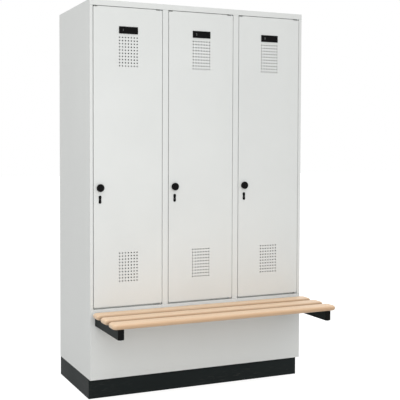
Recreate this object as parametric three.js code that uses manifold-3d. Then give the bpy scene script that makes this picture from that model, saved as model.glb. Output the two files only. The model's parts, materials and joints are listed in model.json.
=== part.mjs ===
import * as THREE from 'three';
import { mergeVertices } from 'three/addons/utils/BufferGeometryUtils.js';
import Module from 'manifold-3d';

// A three-door steel locker on a closed base, with a slatted bench in front, in millimetres.
// X runs to the right, Y to the back and Z up. The origin is on the floor, in the middle
// of the whole outline, bench included.

// Cabinet
const cabinetWidth = 1200;
const cabinetDepth = 500;
const cabinetHeight = 1950;
const sheet = 0.8;
const bendRadius = 0.8;
const seatGap = 0.3;
const cutOverrun = 4;
const rearFlange = 20;
const panFlange = 20;

// Door openings: the stiles, the rail above and the sill below
const compartmentCount = 3;
const sideStileWidth = 15.5;
const partitionStileWidth = 31;
const topRailHeight = 28;
const sillHeight = 447;
const frameFoldDepth = 24;
const stopLip = 12;
const cornerSlotLength = 26;
const hingeSlotLength = 17;
const slotEdge = 2.5;
const webFrontFlange = 12;
const webRearFlange = 15;

// Plinth
const plinthHeight = 100;
const plinthSetback = 30;
const plinthSideInset = 2;
const plinthWall = 1.5;
const plinthFlange = 25;

// Inside each compartment
const hatSpaceHeight = 300;
const shelfFrontGap = 6;
const railDrop = 52;
const railHeight = 30;
const railThickness = 15;
const railWall = 1.5;
const hookClearance = 0.5;
const hookBand = 3;
const hookWidth = 8;
const hookStemLength = 30;
const hookStemWidth = 6;
const hookArmRadius = 17;
const hookArmThickness = 5;
const hookRestShares = [0.3, 0.7];

// Doors
const doorSideGap = 3;
const doorTopGap = 3;
const doorBottomGap = 9;
const doorDepth = 20;
const doorReturn = 12;
const cornerNotch = 3;
const topNotchHeight = 3.6;
const topNotchDepth = 1.5;
const latchNotchWidth = 20;
const hingeNotchWidth = 34;
const stiffenerWidth = 60;
const stiffenerDepth = 14;
const stiffenerFlange = 14;
const stiffenerGap = 40;
const stiffenerSink = 0.5;

// Ventilation holes, in one block near the top of the door and one near its foot
const holeSize = 6.2;
const holePitch = 15.4;
const holeColumns = 7;
const holeRows = 10;
const holesBelowLabel = 18;
const lowerHolesRise = 123.4;

// Hinge pins
const hingeInset = 7;
const hingeSetback = 6;
const pinRadius = 3;
const pinClearance = 0.3;
const pinCollarRadius = 5.6;
const pinInDoor = 16;
const pinInFrame = 10;

// Turn latch
const latchInset = 32.5;
const latchHeight = 1041;
const knobRadius = 19;
const knobProud = 15;
const knobEdge = 2;
const knobFootRadius = 17;
const knobFootHeight = 4;
const knobCapRadius = 7.5;
const knobDishDepth = 1.2;
const keySlotWidth = 1.4;
const keySlotLength = 8;
const keySlotDepth = 2;
const spindleRadius = 4;
const spindleClearance = 0.4;
const spindleInKnob = 8;
const camThickness = 3;
const camBehindLip = 1;
const camHubRadius = 9;
const camTipRadius = 6;
const camTipGap = 1;

// Dead lock below the knob
const lockHeight = 984;
const lockCaseInset = 14;
const lockCaseWidth = 34;
const lockCaseHeight = 48;
const lockWall = 1;
const boltThickness = 3;
const boltHeight = 12;
const boltLength = 30;
const boltClearance = 0.3;
const plateWidth = 14;
const plateHeight = 40;
const plateThickness = 2.5;
const keyHoleRadius = 2.6;
const keyHoleSlotWidth = 2.4;
const keyHoleSlotDrop = 9;

// Label holder
const labelWidth = 100;
const labelHeight = 35;
const labelDrop = 92;
const labelThickness = 2.4;
const labelRim = 3;
const labelPocket = 1.4;
const labelCorner = 2;

// Bench
const slatCount = 3;
const slatWidth = 80;
const slatThickness = 24;
const slatGap = 27;
const slatWallGap = 31;
const slatOverhang = 3;
const slatEdgeRadius = 11.5;
const slatCornerRadius = 24;
const armWidth = 30;
const armHeight = 50;
const armWall = 2;
const armBottom = 366;
const armSideInset = 25;
const armReach = 310;
const armInside = 240;
const capThickness = 3;
const capPlugLength = 12;
const bearerThickness = 3;

// Worked out from the sizes above
const benchReach = slatWallGap + slatCount * slatWidth + (slatCount - 1) * slatGap;
const frontY = benchReach - (cabinetDepth + benchReach) / 2;
const backY = frontY + cabinetDepth;
const halfWidth = cabinetWidth / 2;
const innerHalfWidth = halfWidth - sheet - seatGap;
const backPanelRear = backY - sheet - seatGap;
const backPanelFront = backPanelRear - sheet;
const insideRear = backPanelFront - seatGap;
const shelfRear = insideRear - sheet - seatGap;
const stopY = frontY + frameFoldDepth;
const insideFront = stopY + sheet + seatGap;
const openingTop = cabinetHeight - topRailHeight;
const panelBottom = plinthHeight + seatGap;
const underTop = cabinetHeight - sheet - seatGap;
const allPartitionStiles = (compartmentCount - 1) * partitionStileWidth;
const openingWidth = (cabinetWidth - 2 * sideStileWidth - allPartitionStiles) / compartmentCount;
const compartmentPitch = openingWidth + partitionStileWidth;
const doorWidth = openingWidth - 2 * doorSideGap;
const doorBottom = sillHeight + doorBottomGap;
const doorTop = openingTop - doorTopGap;
const shelfHeight = cabinetHeight - hatSpaceHeight;
const labelBottom = doorTop - labelDrop - labelHeight;
const holesHeight = (holeRows - 1) * holePitch;
const upperHolesBottom = labelBottom - holesBelowLabel - holesHeight;
const lowerHolesBottom = doorBottom + lowerHolesRise;
const doorLeft = hingeInset - doorWidth;
const doorMiddle = hingeInset - doorWidth / 2;
const doorFace = -hingeSetback;
const doorInside = doorFace + sheet;
const doorRear = doorFace + doorDepth;
const hingeY = frontY + hingeSetback;
const stopRear = doorFace + frameFoldDepth + sheet;

const compartments = Array.from({ length: compartmentCount }, (_, index) => {
  const middle = (index - (compartmentCount - 1) / 2) * compartmentPitch;
  const first = index === 0;
  const last = index === compartmentCount - 1;
  const half = compartmentPitch / 2 - sheet / 2;
  return {
    number: index + 1,
    middle,
    left: first ? -halfWidth + sheet : middle - half,
    right: last ? halfWidth - sheet : middle + half,
    hingeX: middle + doorWidth / 2 - hingeInset,
  };
});
const partitions = compartments.slice(1).map((room) => room.middle - compartmentPitch / 2);

const lightGrey = { color: 0xd9dbd9, roughness: 0.55, metalness: 0 };
const black = { color: 0x1b1b1c, roughness: 0.5, metalness: 0 };
const steel = { color: 0xa9acad, roughness: 0.35, metalness: 1 };
const beech = { color: 0xe2bd93, roughness: 0.6, metalness: 0 };

const wasm = await Module();
wasm.setup();

// A closed mesh as a solid that can be joined and cut
function solidOf(geometry) {
  const bare = geometry.clone();
  bare.deleteAttribute('normal');
  bare.deleteAttribute('uv');
  const merged = mergeVertices(bare);
  return new wasm.Manifold(new wasm.Mesh({
    numProp: 3,
    vertProperties: new Float32Array(merged.attributes.position.array),
    triVerts: new Uint32Array(merged.index.array),
  }));
}

function geometryOf(solid) {
  const mesh = solid.getMesh();
  const geometry = new THREE.BufferGeometry();
  geometry.setAttribute('position', new THREE.BufferAttribute(mesh.vertProperties, 3));
  geometry.setIndex(new THREE.BufferAttribute(mesh.triVerts, 1));
  const flat = geometry.toNonIndexed();
  flat.computeVertexNormals();
  return flat;
}

function join(first, ...others) {
  return geometryOf(others.reduce((solid, other) => solid.add(solidOf(other)), solidOf(first)));
}

function cut(body, ...tools) {
  return geometryOf(tools.reduce((solid, tool) => solid.subtract(solidOf(tool)), solidOf(body)));
}

function common(first, second) {
  return geometryOf(solidOf(first).intersect(solidOf(second)));
}

function block(x, y, z) {
  const geometry = new THREE.BoxGeometry(x[1] - x[0], y[1] - y[0], z[1] - z[0]);
  return geometry.translate((x[0] + x[1]) / 2, (y[0] + y[1]) / 2, (z[0] + z[1]) / 2);
}

// The outline of a folded sheet. The line follows the sheet's outer skin with the metal
// on its left, and each corner is a bend with the same inner radius.
function foldedSheet(line) {
  const points = line.map(([x, y]) => new THREE.Vector2(x, y));
  const runs = points.slice(1).map((point, index) => point.clone().sub(points[index]).normalize());
  const lefts = runs.map((run) => new THREE.Vector2(-run.y, run.x));
  const bends = runs.slice(1).map((run, index) => {
    const side = Math.sign(runs[index].cross(run));
    const skin = side > 0 ? bendRadius + sheet : bendRadius;
    const centre = points[index + 1].clone()
      .addScaledVector(runs[index], -skin)
      .addScaledVector(lefts[index], side * skin);
    const from = Math.atan2(-side * lefts[index].y, -side * lefts[index].x);
    const to = Math.atan2(-side * lefts[index + 1].y, -side * lefts[index + 1].x);
    return { side, centre, skin, inner: skin - side * sheet, from, to };
  });
  const start = points[0];
  const end = points[points.length - 1];
  const shape = new THREE.Shape();
  const first = bends[0];
  shape.moveTo(start.x, start.y);
  shape.lineTo(
    first.centre.x + first.skin * Math.cos(first.from),
    first.centre.y + first.skin * Math.sin(first.from),
  );
  for (const bend of bends) {
    shape.absarc(bend.centre.x, bend.centre.y, bend.skin, bend.from, bend.to, bend.side < 0);
  }
  shape.lineTo(end.x, end.y);
  const endInner = end.clone().addScaledVector(lefts[lefts.length - 1], sheet);
  shape.lineTo(endInner.x, endInner.y);
  for (const bend of [...bends].reverse()) {
    shape.absarc(bend.centre.x, bend.centre.y, bend.inner, bend.to, bend.from, bend.side > 0);
  }
  const startInner = start.clone().addScaledVector(lefts[0], sheet);
  shape.lineTo(startInner.x, startInner.y);
  shape.closePath();
  return shape;
}

// Half the number of chords in each arc of an outline, and the sides of turned pieces
const bendSteps = 1;
const ovalSteps = 1;
const cornerSteps = 2;
const circleSteps = 4;
const knobSides = 16;
const spindleSides = 10;

// Extrusions of an outline drawn in plan, in side view (Y, Z) or in front view (X, Z)
function upright(shape, from, to, curveSegments = bendSteps) {
  const options = { depth: to - from, bevelEnabled: false, curveSegments };
  return new THREE.ExtrudeGeometry(shape, options).translate(0, 0, from);
}

function acrossX(shape, from, to, curveSegments = bendSteps) {
  const geometry = upright(shape, from, to, curveSegments);
  const axes = [new THREE.Vector3(0, 1, 0), new THREE.Vector3(0, 0, 1), new THREE.Vector3(1, 0, 0)];
  return geometry.applyMatrix4(new THREE.Matrix4().makeBasis(...axes));
}

function throughY(shape, front, rear, curveSegments = circleSteps) {
  const geometry = upright(shape, -rear, -front, curveSegments);
  return geometry.rotateX(Math.PI / 2);
}

function rectangle(x, y) {
  const corners = [[x[0], y[0]], [x[1], y[0]], [x[1], y[1]], [x[0], y[1]]];
  return new THREE.Shape(corners.map(([cornerX, cornerY]) => new THREE.Vector2(cornerX, cornerY)));
}

function roundedRectangle(x, y, radius) {
  const shape = new THREE.Shape();
  const quarter = Math.PI / 2;
  shape.absarc(x[1] - radius, y[1] - radius, radius, 0, quarter, false);
  shape.absarc(x[0] + radius, y[1] - radius, radius, quarter, 2 * quarter, false);
  shape.absarc(x[0] + radius, y[0] + radius, radius, 2 * quarter, 3 * quarter, false);
  shape.absarc(x[1] - radius, y[0] + radius, radius, 3 * quarter, 4 * quarter, false);
  shape.closePath();
  return shape;
}

function circle(x, y, radius) {
  const shape = new THREE.Shape();
  shape.absarc(x, y, radius, 0, 2 * Math.PI, false);
  return shape;
}

// Round bars along Z, and turned pieces along Y whose profile runs from low to high Y
function rod(x, y, radius, from, to) {
  return upright(circle(x, y, radius), from, to, circleSteps);
}

function turned(profile, segments) {
  const points = profile.map(([radius, y]) => new THREE.Vector2(radius, y));
  return new THREE.LatheGeometry(points, segments);
}

const unit = new THREE.Group();

function addPiece(group, name, geometry, finish) {
  const mesh = new THREE.Mesh(geometry, new THREE.MeshStandardMaterial(finish));
  mesh.name = name;
  group.add(mesh);
  return mesh;
}

// A side panel is one sheet: rear flange, side, front stile, fold and stop lip. The stile
// stops at the sill and below the top rail, where the full-width fronts pass over it.
function sidePanel(side) {
  const leftLine = [
    [-halfWidth + rearFlange, backY],
    [-halfWidth, backY],
    [-halfWidth, frontY],
    [-halfWidth + sideStileWidth, frontY],
    [-halfWidth + sideStileWidth, stopY],
    [-halfWidth + sideStileWidth + stopLip, stopY],
  ];
  const line = side < 0 ? leftLine : leftLine.map(([x, y]) => [-x, y]).reverse();
  const body = upright(foldedSheet(line), panelBottom, underTop);
  const stile = [halfWidth - sheet, halfWidth - sideStileWidth - stopLip - cutOverrun];
  const stileX = stile.map((x) => side * x).sort((a, b) => a - b);
  const wallX = [halfWidth + cutOverrun, halfWidth - sheet - cutOverrun];
  const edgeX = wallX.map((x) => side * x).sort((a, b) => a - b);
  const above = [openingTop - seatGap, cabinetHeight];
  const below = [0, sillHeight + seatGap];
  const stileY = [frontY - cutOverrun, stopY + sheet + cutOverrun];
  const edgeY = [frontY - cutOverrun, frontY + sheet + seatGap];
  return cut(
    body,
    block(stileX, stileY, above),
    block(stileX, stileY, below),
    block(edgeX, edgeY, above),
    block(edgeX, edgeY, below),
  );
}

// Where a stile and its two stop lips stand, across X
function stileSpans() {
  const sideReach = sideStileWidth + stopLip + seatGap;
  const halfReach = partitionStileWidth / 2 + stopLip + seatGap;
  return [
    [-halfWidth - cutOverrun, -halfWidth + sideReach],
    ...partitions.map((x) => [x - halfReach, x + halfReach]),
    [halfWidth - sideReach, halfWidth + cutOverrun],
  ];
}

function endSpans(inset) {
  return [
    [-halfWidth - cutOverrun, -halfWidth + inset],
    [halfWidth - inset, halfWidth + cutOverrun],
  ];
}

function pinHoles(z) {
  return compartments.map((room) => rod(room.hingeX, hingeY, pinRadius + pinClearance, z[0], z[1]));
}

// Slots in the rail's fold over both top corners of each door; the right one clears the pin
function cornerSlots() {
  const y = [frontY + slotEdge, stopY - slotEdge];
  const z = [openingTop - cutOverrun, openingTop + sheet + cutOverrun];
  const clearOfPin = doorSideGap + hingeInset + pinCollarRadius + slotEdge;
  return compartments.flatMap((room) => {
    const left = room.middle - openingWidth / 2;
    const right = room.middle + openingWidth / 2 - clearOfPin;
    return [
      block([left, left + cornerSlotLength], y, z),
      block([right - hingeSlotLength, right], y, z),
    ];
  });
}

// The top sheet turns down in front as the top rail, folds in and ends in the stop lip
function topPanel() {
  const line = [
    [backY, cabinetHeight - rearFlange],
    [backY, cabinetHeight],
    [frontY, cabinetHeight],
    [frontY, openingTop],
    [stopY, openingTop],
    [stopY, openingTop - stopLip],
  ];
  const body = acrossX(foldedSheet(line), -halfWidth, halfWidth);
  const below = openingTop - stopLip - cutOverrun;
  const wallY = [frontY + sheet, backY];
  const flangeY = [backPanelFront, backY + cutOverrun];
  const lipY = [stopY - cutOverrun, stopY + sheet + cutOverrun];
  return cut(
    body,
    ...endSpans(sheet + seatGap).map((x) => block(x, wallY, [below, cabinetHeight - sheet])),
    ...endSpans(rearFlange + seatGap).map((x) => block(x, flangeY, [below, cabinetHeight - sheet])),
    ...stileSpans().map((x) => block(x, lipY, [below, openingTop])),
    ...pinHoles([openingTop - cutOverrun, openingTop + sheet + cutOverrun]),
    ...cornerSlots(),
  );
}

// The base front runs the full width; its top edge folds in as the sill and stop lip,
// and the bench arms pass through two windows
function baseFront() {
  const line = [
    [stopY, sillHeight + stopLip],
    [stopY, sillHeight],
    [frontY, sillHeight],
    [frontY, panelBottom],
  ];
  const body = acrossX(foldedSheet(line), -halfWidth, halfWidth);
  const lipTop = sillHeight + stopLip + cutOverrun;
  const wallY = [frontY + sheet, stopY + sheet + cutOverrun];
  const lipY = [stopY - cutOverrun, stopY + sheet + cutOverrun];
  const windowZ = [armBottom - seatGap, armBottom + armHeight + seatGap];
  const windowY = [frontY - cutOverrun, frontY + sheet + cutOverrun];
  return cut(
    body,
    ...endSpans(sheet + seatGap).map((x) => block(x, wallY, [0, lipTop])),
    ...stileSpans().map((x) => block(x, lipY, [sillHeight, lipTop])),
    ...[-1, 1].map((side) => {
      const [inner, outer] = armSpan(side);
      return block([inner - seatGap, outer + seatGap], windowY, windowZ);
    }),
    ...pinHoles([sillHeight - sheet - cutOverrun, sillHeight + cutOverrun]),
  );
}

// Across X, from the lower to the higher value
function armSpan(side) {
  const outer = halfWidth - armSideInset;
  return [side * outer, side * (outer - armWidth)].sort((a, b) => a - b);
}

function backPanel() {
  const x = [-innerHalfWidth, innerHalfWidth];
  return block(x, [backPanelFront, backPanelRear], [panelBottom, underTop]);
}

// A pan: a flat sheet with flanges turned up or down along its four edges
function pan(x, y, z, up) {
  const inner = (span) => [span[0] + sheet, span[1] - sheet];
  const body = block(x, y, z);
  const hollowZ = up ? [z[0] + sheet, z[1] + cutOverrun] : [z[0] - cutOverrun, z[1] - sheet];
  return cut(body, block(inner(x), inner(y), hollowZ));
}

function baseFloor() {
  const x = [-innerHalfWidth, innerHalfWidth];
  const y = [frontY + sheet + seatGap, insideRear];
  return pan(x, y, [panelBottom, panelBottom + panFlange], true);
}

function compartmentFloor() {
  const x = [-innerHalfWidth, innerHalfWidth];
  return pan(x, [insideFront, insideRear], [sillHeight - panFlange, sillHeight], false);
}

function hatShelf(room) {
  const x = [room.left + seatGap, room.right - seatGap];
  const y = [insideFront + shelfFrontGap, shelfRear];
  return pan(x, y, [shelfHeight - panFlange, shelfHeight], false);
}

// A partition is a hat-shaped stile in front and a folded web behind it
function partitionStile(x) {
  const half = partitionStileWidth / 2;
  const line = [
    [x - half - stopLip, stopY],
    [x - half, stopY],
    [x - half, frontY],
    [x + half, frontY],
    [x + half, stopY],
    [x + half + stopLip, stopY],
  ];
  return upright(foldedSheet(line), sillHeight + seatGap, openingTop - seatGap);
}

// The web stands on the compartment floor and clears the rail's and the sill's folds
function partitionWeb(x) {
  const skin = x - sheet / 2;
  const line = [
    [skin + webRearFlange, insideRear],
    [skin, insideRear],
    [skin, frontY + sheet + seatGap],
    [skin + webFrontFlange, frontY + sheet + seatGap],
  ];
  const body = upright(foldedSheet(line), sillHeight + seatGap, underTop);
  const foldX = [skin - cutOverrun, skin + webRearFlange];
  const foldY = [frontY, insideFront];
  return cut(
    body,
    block(foldX, foldY, [openingTop - seatGap, cabinetHeight]),
  );
}

// The plinth is a ring of channel, open side in, standing on its lower flange
function plinthFrame() {
  const x = [-halfWidth + plinthSideInset, halfWidth - plinthSideInset];
  const y = [frontY + plinthSetback, backY];
  const inset = (span, by) => [span[0] + by, span[1] - by];
  const through = [-cutOverrun, plinthHeight + cutOverrun];
  return cut(
    block(x, y, [0, plinthHeight]),
    block(inset(x, plinthWall), inset(y, plinthWall), inset([0, plinthHeight], plinthWall)),
    block(inset(x, plinthFlange), inset(y, plinthFlange), through),
  );
}

// Coat rail: an oval tube between the walls, so that its hooks slide but cannot turn
const railMiddleY = (insideFront + insideRear) / 2;
const railMiddleZ = shelfHeight - railDrop;

function oval(width, height, y, z) {
  const spanY = [y - width / 2, y + width / 2];
  const spanZ = [z - height / 2, z + height / 2];
  return roundedRectangle(spanY, spanZ, width / 2);
}

function coatRail(room) {
  const shape = oval(railThickness, railHeight, railMiddleY, railMiddleZ);
  const bore = oval(railThickness - 2 * railWall, railHeight - 2 * railWall, railMiddleY, railMiddleZ);
  shape.holes.push(bore);
  return acrossX(shape, room.left + seatGap, room.right - seatGap, ovalSteps);
}

// Coat hook: a band round the rail, a stem and two upturned arms in one stamped piece
function coatHook(x) {
  const boreWidth = railThickness + 2 * hookClearance;
  const boreHeight = railHeight + 2 * hookClearance;
  const middleZ = railMiddleZ - hookClearance + seatGap;
  const span = [x - hookWidth / 2, x + hookWidth / 2];
  const band = oval(boreWidth + 2 * hookBand, boreHeight + 2 * hookBand, railMiddleY, middleZ);
  band.holes.push(oval(boreWidth, boreHeight, railMiddleY, middleZ));
  const bandBottom = middleZ - boreHeight / 2 - hookBand;
  const stemY = [railMiddleY - hookStemWidth / 2, railMiddleY + hookStemWidth / 2];
  const stem = rectangle(stemY, [bandBottom - hookStemLength, bandBottom + hookBand / 2]);
  const armsZ = bandBottom - hookStemLength + hookArmRadius + hookArmThickness / 2;
  const inner = hookArmRadius;
  const outer = hookArmRadius + hookArmThickness;
  const tip = hookArmThickness / 2;
  const tipMiddle = hookArmRadius + tip;
  const arms = new THREE.Shape();
  arms.absarc(railMiddleY, armsZ, outer, Math.PI, 2 * Math.PI, false);
  arms.absarc(railMiddleY + tipMiddle, armsZ, tip, 0, Math.PI, false);
  arms.absarc(railMiddleY, armsZ, inner, 2 * Math.PI, Math.PI, true);
  arms.absarc(railMiddleY - tipMiddle, armsZ, tip, 0, Math.PI, false);
  return join(
    acrossX(band, ...span, ovalSteps),
    acrossX(stem, ...span),
    acrossX(arms, ...span, cornerSteps),
  );
}

// The square ventilation holes of one block, as a cutter through the door's face
function ventHoles(bottom) {
  const shapes = [];
  const half = holeSize / 2;
  for (let row = 0; row < holeRows; row += 1) {
    for (let column = 0; column < holeColumns; column += 1) {
      const x = doorMiddle + (column - (holeColumns - 1) / 2) * holePitch;
      const z = bottom + row * holePitch;
      shapes.push(rectangle([x - half, x + half], [z - half, z + half]));
    }
  }
  return throughY(shapes, doorFace - cutOverrun, doorInside + cutOverrun);
}

// The door is a tray of one sheet, folded back on four sides and turned in again, with
// relief notches at its corners and a hat-shaped stiffener between the two hole blocks.
// At both top corners the face is cut lower over a short stretch, in front of the pin
function doorPanel() {
  const x = [doorLeft, hingeInset];
  const z = [doorBottom, doorTop];
  const inset = (span, by) => [span[0] + by, span[1] - by];
  const tray = cut(
    block(x, [doorFace, doorRear], z),
    block(inset(x, sheet), [doorInside, doorRear - sheet], inset(z, sheet)),
    block(inset(x, doorReturn), [doorInside, doorRear + cutOverrun], inset(z, doorReturn)),
  );
  const notchSpans = ([low, high]) => [
    [low - cutOverrun, low + cornerNotch],
    [high - cornerNotch, high + cutOverrun],
  ];
  const notches = notchSpans(x).flatMap((spanX) => notchSpans(z).map((spanZ) => (
    block(spanX, [doorFace - cutOverrun, doorRear + cutOverrun], spanZ)
  )));
  const topNotches = [
    [doorLeft - cutOverrun, doorLeft + latchNotchWidth],
    [hingeInset - hingeNotchWidth, hingeInset + cutOverrun],
  ].map((spanX) => block(
    spanX,
    [doorFace - cutOverrun, doorFace + topNotchDepth],
    [doorTop - topNotchHeight, doorTop + cutOverrun],
  ));
  const half = stiffenerWidth / 2;
  const flangeY = doorInside - stiffenerSink + sheet;
  const ridgeY = doorInside + stiffenerDepth;
  const stiffenerZ = [lowerHolesBottom + holesHeight + stiffenerGap, upperHolesBottom - stiffenerGap];
  const stiffener = foldedSheet([
    [doorMiddle + half, flangeY],
    [doorMiddle + half - stiffenerFlange, flangeY],
    [doorMiddle + half - stiffenerFlange, ridgeY],
    [doorMiddle - half + stiffenerFlange, ridgeY],
    [doorMiddle - half + stiffenerFlange, flangeY],
    [doorMiddle - half, flangeY],
  ]);
  const pinHole = (from, to) => rod(0, 0, pinRadius + pinClearance, from, to);
  const latchX = doorLeft + latchInset;
  const spindleHole = circle(latchX, latchHeight, spindleRadius + spindleClearance);
  const through = [doorFace - cutOverrun, doorInside + cutOverrun];
  return cut(
    join(tray, upright(stiffener, ...stiffenerZ)),
    ...notches,
    ...topNotches,
    ventHoles(upperHolesBottom),
    ventHoles(lowerHolesBottom),
    pinHole(doorBottom - cutOverrun, doorBottom + sheet + cutOverrun),
    pinHole(doorTop - sheet - cutOverrun, doorTop + cutOverrun),
    throughY(spindleHole, ...through),
    throughY(keyHole(latchX), ...through),
  );
}

// A keyhole: a round top with a slot below, as one outline
function keyHole(x) {
  const half = keyHoleSlotWidth / 2;
  const open = Math.asin(half / keyHoleRadius);
  const shape = new THREE.Shape();
  shape.moveTo(x - half, lockHeight - keyHoleSlotDrop);
  shape.lineTo(x + half, lockHeight - keyHoleSlotDrop);
  shape.absarc(x, lockHeight, keyHoleRadius, open - Math.PI / 2, 3 * Math.PI / 2 - open, false);
  shape.closePath();
  return shape;
}

// Hinge pins: a collar carries or spaces the door, and both ends sit in round holes
function hingePin(top) {
  const collar = top
    ? [doorTop + seatGap, openingTop - seatGap]
    : [sillHeight + seatGap, doorBottom - seatGap];
  const shank = top
    ? [doorTop - pinInDoor, openingTop + pinInFrame]
    : [sillHeight - pinInFrame, doorBottom + pinInDoor];
  return join(rod(0, 0, pinRadius, ...shank), rod(0, 0, pinCollarRadius, ...collar));
}

// The knob is turned, with a shallow dish round a raised cap that takes the key
function turnKnob() {
  const proud = -knobProud;
  const foot = -seatGap;
  const bore = spindleRadius + spindleClearance;
  const profile = [
    [0, proud],
    [knobCapRadius, proud],
    [knobCapRadius, proud + knobDishDepth],
    [knobCapRadius + knobEdge, proud + knobDishDepth],
    [knobRadius - knobEdge, proud],
    [knobRadius, proud + knobEdge],
    [knobRadius, -knobFootHeight - knobEdge],
    [knobFootRadius, -knobFootHeight],
    [knobFootRadius, foot],
    [bore, foot],
    [bore, -spindleInKnob - seatGap],
    [0, -spindleInKnob - seatGap],
  ];
  const slotX = [-keySlotWidth / 2, keySlotWidth / 2];
  const slotZ = [-keySlotLength / 2, keySlotLength / 2];
  const slotY = [proud - cutOverrun, proud + keySlotDepth];
  return cut(turned(profile, knobSides), block(slotX, slotY, slotZ));
}

// The cam sits on the spindle behind the door. It hangs down when the latch is open and
// points at the stile, behind the stop lip, when the knob is turned a quarter
function latchCam() {
  const camFront = stopRear + hingeSetback + camBehindLip;
  const camY = [camFront, camFront + camThickness];
  const spindle = turned([
    [0, -spindleInKnob],
    [spindleRadius, -spindleInKnob],
    [spindleRadius, camY[1]],
    [0, camY[1]],
  ], spindleSides);
  const reach = latchInset - camTipGap - camTipRadius;
  const lean = Math.asin((camHubRadius - camTipRadius) / reach);
  const blade = new THREE.Shape();
  blade.absarc(0, 0, camHubRadius, -lean, Math.PI + lean, false);
  blade.absarc(0, -reach, camTipRadius, Math.PI + lean, 2 * Math.PI - lean, false);
  blade.closePath();
  return join(spindle, throughY(blade, camY[0], camY[1]));
}

// The lock case stands on the inside of the door's face. Its bolt slides out of a slot,
// behind the same stop lip
const boltY = [stopRear + camBehindLip, stopRear + camBehindLip + boltThickness];
const boltZ = [lockHeight - boltHeight / 2, lockHeight + boltHeight / 2];

function lockCase() {
  const left = doorLeft + lockCaseInset;
  const caseY = [doorInside + seatGap, boltY[1] + boltClearance + lockWall];
  const caseZ = [lockHeight - lockCaseHeight / 2, lockHeight + lockCaseHeight / 2];
  const grow = (span) => [span[0] - boltClearance, span[1] + boltClearance];
  const slotX = [left - cutOverrun, left + boltLength + boltClearance];
  return cut(
    block([left, left + lockCaseWidth], caseY, caseZ),
    block(slotX, grow(boltY), grow(boltZ)),
  );
}

function lockBolt() {
  const left = doorLeft + lockCaseInset;
  return block([left, left + boltLength], boltY, boltZ);
}

function keyPlate() {
  const x = doorLeft + latchInset;
  const spanX = [x - plateWidth / 2, x + plateWidth / 2];
  const spanZ = [lockHeight - plateHeight / 2, lockHeight + plateHeight / 2];
  const shape = roundedRectangle(spanX, spanZ, plateWidth / 2);
  shape.holes.push(keyHole(x));
  return throughY(shape, doorFace - seatGap - plateThickness, doorFace - seatGap, cornerSteps);
}

function labelHolder() {
  const spanX = [doorMiddle - labelWidth / 2, doorMiddle + labelWidth / 2];
  const spanZ = [labelBottom, labelBottom + labelHeight];
  const inset = (span) => [span[0] + labelRim, span[1] - labelRim];
  const front = doorFace - seatGap - labelThickness;
  const plate = throughY(roundedRectangle(spanX, spanZ, labelCorner), front, doorFace - seatGap, bendSteps);
  return cut(plate, block(inset(spanX), [front - cutOverrun, front + labelPocket], inset(spanZ)));
}

// Bench: two square-cut tubes that reach out of the base, plugged in front, and the slats
function benchArm(side) {
  const x = armSpan(side);
  const y = [frontY - armReach + capThickness, frontY + armInside];
  const z = [armBottom, armBottom + armHeight];
  const inset = (span) => [span[0] + armWall, span[1] - armWall];
  return cut(block(x, y, z), block(inset(x), [y[0] - cutOverrun, y[1] + cutOverrun], inset(z)));
}

function armCap(side) {
  const x = armSpan(side);
  const z = [armBottom, armBottom + armHeight];
  const tubeEnd = frontY - armReach + capThickness;
  const plug = (span) => [span[0] + armWall + seatGap, span[1] - armWall - seatGap];
  return join(
    block(x, [frontY - armReach, tubeEnd - seatGap], z),
    block(plug(x), [tubeEnd - capThickness, tubeEnd + capPlugLength], plug(z)),
  );
}

// An angle inside the base ties each arm to the side panel and carries it from below
function armBearer(side) {
  const wall = innerHalfWidth;
  const armInner = halfWidth - armSideInset - armWidth;
  const y = [frontY + sheet + panFlange, frontY + armInside];
  const top = armBottom + armHeight;
  const under = armBottom - seatGap;
  const legX = [side * wall, side * (wall - bearerThickness)].sort((a, b) => a - b);
  const shelfX = [side * wall, side * armInner].sort((a, b) => a - b);
  return join(
    block(legX, y, [under - bearerThickness, top]),
    block(shelfX, y, [under - bearerThickness, under]),
  );
}

// A slat has rounded long edges and rounded corners seen from above, and passes the
// cabinet's sides a little
function benchSlat(index) {
  const rear = frontY - slatWallGap - index * (slatWidth + slatGap);
  const x = [-halfWidth - slatOverhang, halfWidth + slatOverhang];
  const y = [rear - slatWidth, rear];
  const z = armBottom + armHeight + seatGap;
  const section = roundedRectangle(y, [z, z + slatThickness], slatEdgeRadius);
  const outline = roundedRectangle(x, y, slatCornerRadius);
  return common(
    acrossX(section, ...x, cornerSteps),
    upright(outline, z - cutOverrun, z + slatThickness + cutOverrun, cornerSteps),
  );
}

addPiece(unit, 'side_panel_left', sidePanel(-1), lightGrey);
addPiece(unit, 'side_panel_right', sidePanel(1), lightGrey);
addPiece(unit, 'top_panel', topPanel(), lightGrey);
addPiece(unit, 'back_panel', backPanel(), lightGrey);
addPiece(unit, 'base_front_panel', baseFront(), lightGrey);
addPiece(unit, 'base_floor', baseFloor(), lightGrey);
addPiece(unit, 'compartment_floor', compartmentFloor(), lightGrey);
addPiece(unit, 'plinth_frame', plinthFrame(), black);
partitions.forEach((x, index) => {
  addPiece(unit, `partition_stile_${index + 1}`, partitionStile(x), lightGrey);
  addPiece(unit, `partition_web_${index + 1}`, partitionWeb(x), lightGrey);
});

for (const room of compartments) {
  addPiece(unit, `hat_shelf_${room.number}`, hatShelf(room), lightGrey);
  addPiece(unit, `coat_rail_${room.number}`, coatRail(room), steel);
  hookRestShares.forEach((share, index) => {
    const x = room.left + share * (room.right - room.left);
    addPiece(unit, `coat_hook_${room.number}_${index + 1}`, coatHook(x), black);
  });
}

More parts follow.
